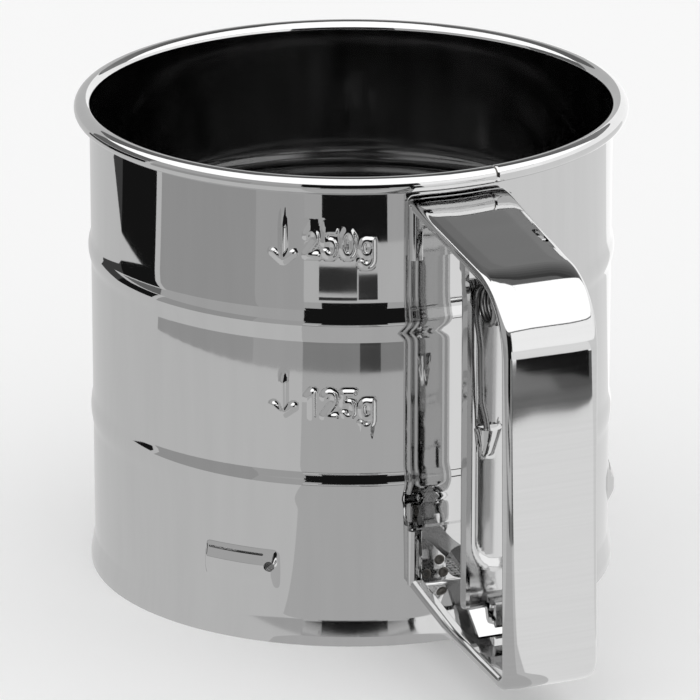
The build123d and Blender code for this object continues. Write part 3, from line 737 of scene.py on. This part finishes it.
# --- trigger -----------------------------------------------------------------------------------
def trigger_columns():
    """Section of the channel from the left flange's edge to the right's: (y, depth) pairs."""
    half = TRIGGER_HALF
    left = [(-half, depth) for depth in np.linspace(FLANGE_DEPTH, TRIGGER_BEND, 6)[:-1]]
    for turn in np.radians(np.linspace(0, 90, 8)):
        y = -half + TRIGGER_BEND * (1 - math.cos(turn))
        left.append((y, TRIGGER_BEND * (1 - math.sin(turn))))
    flat = half - TRIGGER_BEND
    plate = [(y, 0.0) for y in np.linspace(-flat, flat, 47)[1:-1]]
    return left + plate + [(-y, depth) for y, depth in reversed(left)]


def panel_push(y, z):
    """The plate's shallow recess: full depth inside a round-ended outline, with soft edges."""
    low, high = PANEL_Z[0] + PANEL_HALF, PANEL_Z[1] - PANEL_HALF
    beyond = max(low - z, 0.0, z - high)
    inside = PANEL_HALF - math.hypot(y, beyond)
    return -PANEL_DEPTH * float(smooth(inside / 1.1 + 0.1))


def scoop_push(y, z):
    """The lanced pocket for the spring's end: deepest at its open top."""
    low, high = SCOOP_Z
    if not low < z <= high:
        return 0.0
    rise = (z - low) / (high - low)
    width = SCOOP_HALF * (0.35 + 0.65 * rise)
    across = 1 - ((y - SCOOP_Y) / width) ** 2
    return (SCOOP_DEPTH + PANEL_DEPTH * 0.5) * rise**0.8 * math.sqrt(max(across, 0.0))


def trigger_rows():
    """Heights of the channel's rows; the scoop's open top is two rows at one height."""
    rows = [(z, False) for z in np.linspace(FOLD_Z + 1.4, SCOOP_Z[0], 40)]
    rows += [(z, False) for z in np.linspace(*SCOOP_Z, 13)[1:]]
    rows.append((SCOOP_Z[1], True))
    rows += [(z, False) for z in np.linspace(SCOOP_Z[1] + 0.6, PLATE_TOP, 34)]
    return rows


def tongue_places():
    """(x, z) places from the tongue's end up round the fold, on the side towards the can."""
    slope = math.radians(TONGUE_SLOPE)
    fold_turn = math.pi / 2 - slope
    fold_x = TRIGGER_X + FOLD_RADIUS
    start_x = fold_x - FOLD_RADIUS * math.cos(fold_turn)
    start_z = FOLD_TOP - FOLD_RADIUS * math.sin(fold_turn)
    reach = TONGUE_END_X - TONGUE_SHORT - start_x
    places = []
    for part in np.linspace(1, 0, 8)[:-1]:
        places.append((start_x + reach * part, start_z - reach * part * math.tan(slope)))
    for turn in np.linspace(fold_turn, 0, 9):
        x = fold_x - FOLD_RADIUS * math.cos(turn)
        places.append((x, FOLD_TOP - FOLD_RADIUS * math.sin(turn)))
    return places


def channel_rows(columns):
    """Rows of points up the tongue and the plate with its two flanges."""
    rows = []
    for x, z in tongue_places():
        rows.append([(x, y * TONGUE_HALF / TRIGGER_HALF, z) for y, _ in columns])
    for z, above_slot in trigger_rows():
        widen = float(smooth((z - FOLD_TOP + 0.4) / 0.9))
        half = TONGUE_HALF + (TRIGGER_HALF - TONGUE_HALF) * widen
        lip = float(np.clip((z - FOLD_TOP) / 0.5, 0, 1))
        top = float(np.clip((z - PLATE_TOP + EAR_TAPER) / EAR_TAPER, 0, 1))
        deepest = FLANGE_DEPTH * lip + (EAR_DEPTH - FLANGE_DEPTH) * top
        row = []
        for y, depth in columns:
            depth = depth * deepest / FLANGE_DEPTH
            push = panel_push(y, z) + (0.0 if above_slot else scoop_push(y, z))
            row.append((TRIGGER_X + depth + push, y * half / TRIGGER_HALF, z))
        rows.append(row)
    return rows


def channel_faces(rows, count):
    """Faces between the rows, left out where two rows meet and across the scoop's open top."""
    faces = []
    for i in range(len(rows) - 1):
        for j in range(count - 1):
            here = i * count + j
            above = here + count
            meets = rows[i][j] == rows[i + 1][j] and rows[i][j + 1] == rows[i + 1][j + 1]
            level = rows[i][j][2] == rows[i + 1][j][2]
            if not meets and not level:
                faces.append((here, here + 1, above + 1, above))
    return faces


def add_ear(points, faces, columns, previous, picked, ear_top):
    """Grows an ear from the picked columns of the channel's top row up to its rounded end."""
    last = EAR_COLUMNS - 1
    for k in range(1, EAR_ROWS + 1):
        z = PLATE_TOP + (ear_top - PLATE_TOP) * k / EAR_ROWS
        flat = float(smooth(k / 3))
        corner = 0.5 * float(smooth((k - EAR_ROWS + 1.5) / 1.5))
        current = []
        for place, j in enumerate(picked):
            y, depth = columns[j]
            order = place if y < 0 else last - place
            depth = depth * EAR_DEPTH / FLANGE_DEPTH
            straight = EAR_DEPTH * (1 - order / last)
            pulled = EAR_DEPTH / 2 + (straight - EAR_DEPTH / 2) * (1 - 0.35 * corner)
            edge = math.copysign(TRIGGER_HALF, y)
            points.append((TRIGGER_X + depth + (pulled - depth) * flat, y + (edge - y) * flat, z))
            current.append(len(points) - 1)
        faces += list(zip(previous, previous[1:], current[1:], current))
        previous = current


def make_trigger_channel():
    """Pressed channel with its tongue, ears, recessed panel and lanced scoop."""
    columns = trigger_columns()
    rows = channel_rows(columns)
    count = len(columns)
    faces = channel_faces(rows, count)
    points = [point for row in rows for point in row]
    top_row = (len(rows) - 1) * count
    for picked, ear_top in (
        (range(EAR_COLUMNS), EAR_TOPS[0]),
        (range(count - EAR_COLUMNS, count), EAR_TOPS[1]),
    ):
        add_ear(points, faces, columns, [top_row + j for j in picked], picked, ear_top)
    trigger = make_object("trigger_channel", points, faces, PRESSED, sharp=50.0)
    thick = trigger.modifiers.new("sheet", "SOLIDIFY")
    thick.thickness = TRIGGER_SHEET * MM
    thick.offset = -1.0 if trigger_faces_can(trigger) else 1.0
    thick.use_even_offset = True
    apply_modifiers(trigger, 50.0)
    middle, half = TAB_WINDOW
    low, high = TAB_WINDOW_Z
    square = ((-half, low), (half, low), (half, high), (-half, high))
    near_x, far_x = TRIGGER_X - CUT_REACH, TRIGGER_X + CUT_REACH
    window = prism("cutter", square, lambda a, b, h: (h, middle + a, b), near_x, far_x, PRESSED)
    near, far = TAB_SLOT_X
    square = ((near, -half), (far, -half), (far, half), (near, half))
    low_z, high_z = TONGUE_CUT_Z
    slot = prism("cutter", square, lambda a, b, h: (a, middle + b, h), low_z, high_z, PRESSED)
    cut(trigger, [window, slot], sharp=50.0)
    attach(trigger, "trigger_lever")
    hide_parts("trigger")


def trigger_faces_can(trigger):
    """Whether the plate's faces point at the can, so that its thickness goes the other way."""
    total = sum(face.normal.x * face.area for face in trigger.data.polygons)
    return total < 0


# --- spring ------------------------------------------------------------------------------------
def coil_point(part):
    """Place on the coil's middle line, from the trigger's leg (0) to the grip's leg (1)."""
    turn = math.pi - 2 * math.pi * COIL_TURNS * part
    x = COIL_CENTRE[0] + COIL_RADIUS * math.cos(turn)
    z = COIL_CENTRE[1] + COIL_RADIUS * math.sin(turn)
    return Vector((x, COIL_START_Y + COIL_PITCH * COIL_TURNS * part, z))


def bezier(a, b, c, d, steps):
    """Points along a cubic curve, without its first."""
    points = []
    for k in range(1, steps + 1):
        t = k / steps
        s = 1 - t
        points.append(s**3 * a + 3 * s * s * t * b + 3 * s * t * t * c + t**3 * d)
    return points


def make_spring():
    """Kinked leg and coil, and the straight leg that runs on from the coil towards the grip."""
    foot, kink, bow = (Vector(p) for p in SCOOP_LEG)
    coil = [coil_point(k / 360) for k in range(361)]
    start = coil[0]
    down = Vector((0, 0, -1))
    route = [start]
    route += bezier(start, start + down * 4, bow - down * 3, bow, 10)
    route += bezier(bow, bow + down * 3, kink + Vector((0.1, -0.1, 3)), kink, 8)
    route += bezier(kink, kink + Vector((-0.1, 0.15, -1.5)), foot + Vector((0, 0, 3)), foot, 8)
    body = tube("spring_coil", route[::-1] + coil[1:], WIRE_RADIUS, SHADED_SPRING)
    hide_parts("trigger_spring")
    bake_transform(body)

    direction = (coil_point(1 + TINY) - coil_point(1 - TINY)).normalized()
    grip_leg = [coil[-1] + direction * GRIP_LEG * k / 20 for k in range(21)]
    leg = tube("spring_leg", grip_leg, WIRE_RADIUS, SHADED_SPRING)
    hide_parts("trigger_spring")
    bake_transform(leg)


# --- woven mesh --------------------------------------------------------------------------------
def make_woven_mesh():
    """Plain weave: each wire passes over and under its neighbours in turn."""
    middle = (MESH_LOW.z + MESH_HIGH.z) / 2
    swing = (MESH_HIGH.z - MESH_LOW.z) / 2 - WEAVE_WIRE
    count = int(WEAVE_RADIUS / WEAVE_PITCH)
    for name, turned in (("mesh_warp", False), ("mesh_weft", True)):
        points = []
        faces = []
        for index in range(-count, count + 1):
            across = (index + 0.5) * WEAVE_PITCH
            if abs(across) >= WEAVE_RADIUS:
                continue
            reach = math.sqrt(WEAVE_RADIUS**2 - across**2)
            runs = [(-reach, reach)]
            if abs(across) < AXLE_CLEAR:
                gap = math.sqrt(AXLE_CLEAR**2 - across**2)
                runs = [(-reach, -gap), (gap, reach)]
            for low, high in runs:
                add_wire(points, faces, across, low, high, index, middle, swing, turned)
        woven = make_object(name, points, faces, WIRE, sharp=80.0)
        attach(woven, "can")
        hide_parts("sieve_mesh")


def add_wire(points, faces, across, low, high, index, middle, swing, turned):
    """Adds one square-sided wavy wire to the lists of points and faces."""
    sides = 4
    steps = max(2, round(2 * (high - low) / WEAVE_PITCH))
    start = len(points)
    for k in range(steps + 1):
        along = low + (high - low) * k / steps
        phase = math.pi * (along / WEAVE_PITCH + index + turned)
        z = middle + swing * math.sin(phase)
        for s in range(sides):
            turn = 2 * math.pi * (s + 0.5) / sides
            side = across + WEAVE_WIRE * math.cos(turn)
            up = z + WEAVE_WIRE * math.sin(turn)
            points.append((side, along, up) if turned else (along, side, up))
    rows = steps + 1
    for face in grid_faces(rows, sides, wrap_columns=True):
        faces.append(tuple(start + v for v in face))


# --- carried-over nodes ------------------------------------------------------------------------
NODE_MATERIALS = {
    "drive_link": DRAWN,
    "crank_arm": DRAWN,
    "bearing_spider": DRAWN,
    "rotor_blade_1": DRAWN,
    "rotor_blade_2": DRAWN,
    "rotor_blade_3": DRAWN,
    "rotor_blade_4": DRAWN,
    "sieve_ring": PRESSED,
    "clamp_ring": PRESSED,
    "rotor_hub": FORGED,
    "crank_pin": FORGED,
    "crank_pin_washer": FORGED,
    "axle_bolt": FORGED,
    "axle_nut": FORGED,
    "upper_washer": FORGED,
    "lower_washer": FORGED,
    "mesh_washer": FORGED,
}


def dress_nodes():
    """Gives each CAD node that stays visible its material."""
    for name, material in NODE_MATERIALS.items():
        mesh = frame["nodes"][name].data
        mesh.materials.clear()
        mesh.materials.append(material)


# --- stage -------------------------------------------------------------------------------------
def glow(name, level):
    """A plain emitting material."""
    material = bpy.data.materials.new(name)
    material.use_nodes = True
    tree = material.node_tree
    tree.nodes.clear()
    shader = node(tree, "ShaderNodeEmission")
    shader.inputs["Color"].default_value = (level, level, level, 1.0)
    out = node(tree, "ShaderNodeOutputMaterial")
    tree.links.new(shader.outputs[0], out.inputs["Surface"])
    return material


def only_reflected(obj):
    """The camera and the floor don't see this; only reflections do."""
    obj.visible_camera = False
    obj.visible_diffuse = False
    obj.visible_shadow = False


def ground_patch(name, low, high, near, far, level, layer=1):
    """A flat card on the ground between two bearings (degrees) and two distances (millimetres).

    Each distance is one number, or one at the low and one at the high bearing.
    """
    rows = 25
    bearings = np.radians(np.linspace(low, high, rows))
    edges = [np.linspace(*(np.ravel([edge, edge])[[0, -1]]), rows) for edge in (near, far)]
    points = []
    for edge in edges:
        for bearing, distance in zip(bearings, edge):
            height = GROUND_TOP + LAYER_STEP * layer
            points.append((distance * math.cos(bearing), distance * math.sin(bearing), height))
    only_reflected(make_object(name, points, grid_faces(2, rows), glow(name, level)))


def sky_card(name, low, high, bottom, top, level):
    """A curved card between two bearings and two elevations, in degrees."""
    bearings = np.radians(np.linspace(low, high, 25))
    elevations = np.radians(np.linspace(bottom, top, 13))
    points = []
    for e in elevations:
        for b in bearings:
            flat = CARD_DISTANCE * math.cos(e)
            height = CARD_DISTANCE * math.sin(e) + CARD_CENTRE_Z
            points.append((flat * math.cos(b), flat * math.sin(b), height))
    faces = grid_faces(len(elevations), len(bearings))
    only_reflected(make_object(name, points, faces, glow(name, level)))


def make_stage():
    """Pale floor, and the studio that only reflections see: paper on the ground and soft boxes."""
    half = FLOOR_SIZE / 2 / MM
    points = [(-half, -half, 0), (half, -half, 0), (half, half, 0), (-half, half, 0)]
    material = bpy.data.materials.new("floor")
    material.use_nodes = True
    shader = material.node_tree.nodes["Principled BSDF"]
    shader.inputs["Base Color"].default_value = (0.92, 0.92, 0.92, 1.0)
    shader.inputs["Roughness"].default_value = 0.9
    floor = make_object("floor", points, [(0, 1, 2, 3)], material)
    floor.visible_glossy = False

    ground_patch("paper_near", -107, 30, 0, 205, 0.66)
    ground_patch("paper_left", -107, -61, 205, 900, 0.40)
    ground_patch("paper_left_front", -61, -41, 205, 900, 0.46)
    ground_patch("paper_back", -210, -107, 0, 1500, 0.66)
    ground_patch("paper_right", 30, 120, 0, 1500, 0.85)
    ground_patch("paper_far_right", 120, 150, 0, 1500, 1.15)
    ground_patch("camera_near", -41, 0, 0, 205, 0.53, layer=2)
    ground_patch("camera_band", -41, 0, 205, 225, 0.28, layer=2)
    ground_patch("camera_shade", -19, -11, 205, 225, 0.07, layer=3)
    ground_patch("camera_light", -41, 0, 225, 292, 0.6, layer=2)
    ground_patch("camera_foot_left", -35, -20, 257, 275, 0.04, layer=3)
    ground_patch("camera_foot_right", -19.5, -12, 252, 270, 0.04, layer=3)
    ground_patch("camera_far", -41, 0, 292, 420, 0.48, layer=2)
    ground_patch("camera_dark", -34, -8, 292, 1500, 0.01, layer=3)
    ground_patch("left_dark", -116, -110, (239, 236), 900, 0.01, layer=4)
    ground_patch("left_dark_middle", -134, -116, (252, 239), 900, 0.01, layer=4)
    ground_patch("left_dark_back", -152, -134, (360, 252), 900, 0.06, layer=4)
    ground_patch("grip_near", 2, 30, 0, 289, 0.98, layer=3)
    ground_patch("grip_dusk_left", 2, 17, (318, 311), 355, 0.24, layer=4)
    ground_patch("grip_dusk_right", 17, 30, (311, 302), 355, 0.12, layer=4)
    ground_patch("grip_dark", 8, 26, (346, 314), 385, 0.01, layer=5)
    ground_patch("grip_far", 2, 30, 385, 1500, 1.0, layer=3)

    sky_card("top_box", -180, 180, 70, 90, 1.6)
    sky_card("top_box_front", -150, 105, 25.5, 70, 1.6)
    for step, level in enumerate(np.linspace(*SHADE_LEVELS, SHADE_STEPS)):
        bottom = SHADE_BOTTOM + SHADE_BAND * step
        sky_card(f"back_shade_{step + 1}", 107, 170, bottom, bottom + SHADE_BAND, float(level))
    sky_card("front_panel", 5, 60, -14, 24, 1.25)
    sky_card("camera_side", -42, 4, -18, 20, 0.01)
    sky_card("left_panel", -110, -42, -10, 25.5, 0.5)
    sky_card("back_left", -210, -150, -10, 30, 0.6)
    sky_card("right_panel", 60, 150, -10, 26, 1.2)


def make_world():
    """Pale to the camera, white to the floor and dim to reflections."""
    world = bpy.data.worlds.new("studio")
    bpy.context.scene.world = world
    world.use_nodes = True
    tree = world.node_tree
    background = tree.nodes["Background"]
    path = node(tree, "ShaderNodeLightPath")
    seen = node(tree, "ShaderNodeMapRange")
    seen.inputs["To Min"].default_value = 0.16
    seen.inputs["To Max"].default_value = 1.0
    either = node(tree, "ShaderNodeMath", operation="MAXIMUM")
    tree.links.new(path.outputs["Is Camera Ray"], either.inputs[0])
    tree.links.new(path.outputs["Is Diffuse Ray"], either.inputs[1])
    tree.links.new(either.outputs[0], seen.inputs["Value"])
    tree.links.new(seen.outputs["Result"], background.inputs["Strength"])
    background.inputs["Color"].default_value = (1.0, 1.0, 1.0, 1.0)


def make_camera():
    """The photo's viewing angle, from the handle's side and a little above."""
    data = bpy.data.cameras.new("camera")
    data.lens = CAMERA_LENS
    data.sensor_width = 36.0
    data.shift_x, data.shift_y = CAMERA_SHIFT
    data.clip_end = 20.0
    camera = bpy.data.objects.new("camera", data)
    bpy.context.scene.collection.objects.link(camera)
    angle = math.radians(CAMERA_ANGLE)
    rise = math.radians(CAMERA_ELEVATION)
    back = Vector((math.cos(angle) * math.cos(rise), math.sin(angle) * math.cos(rise), math.sin(rise)))
    camera.location = Vector(CAMERA_TARGET) + back * CAMERA_DISTANCE
    camera.rotation_euler = back.to_track_quat("Z", "Y").to_euler()
    bpy.context.scene.camera = camera


make_can_shell()
make_handle_strip()
make_spot_welds()
make_trigger_channel()
make_spring()
make_woven_mesh()
dress_nodes()
make_stage()
make_world()
make_camera()
bpy.context.scene.view_settings.view_transform = "Standard"
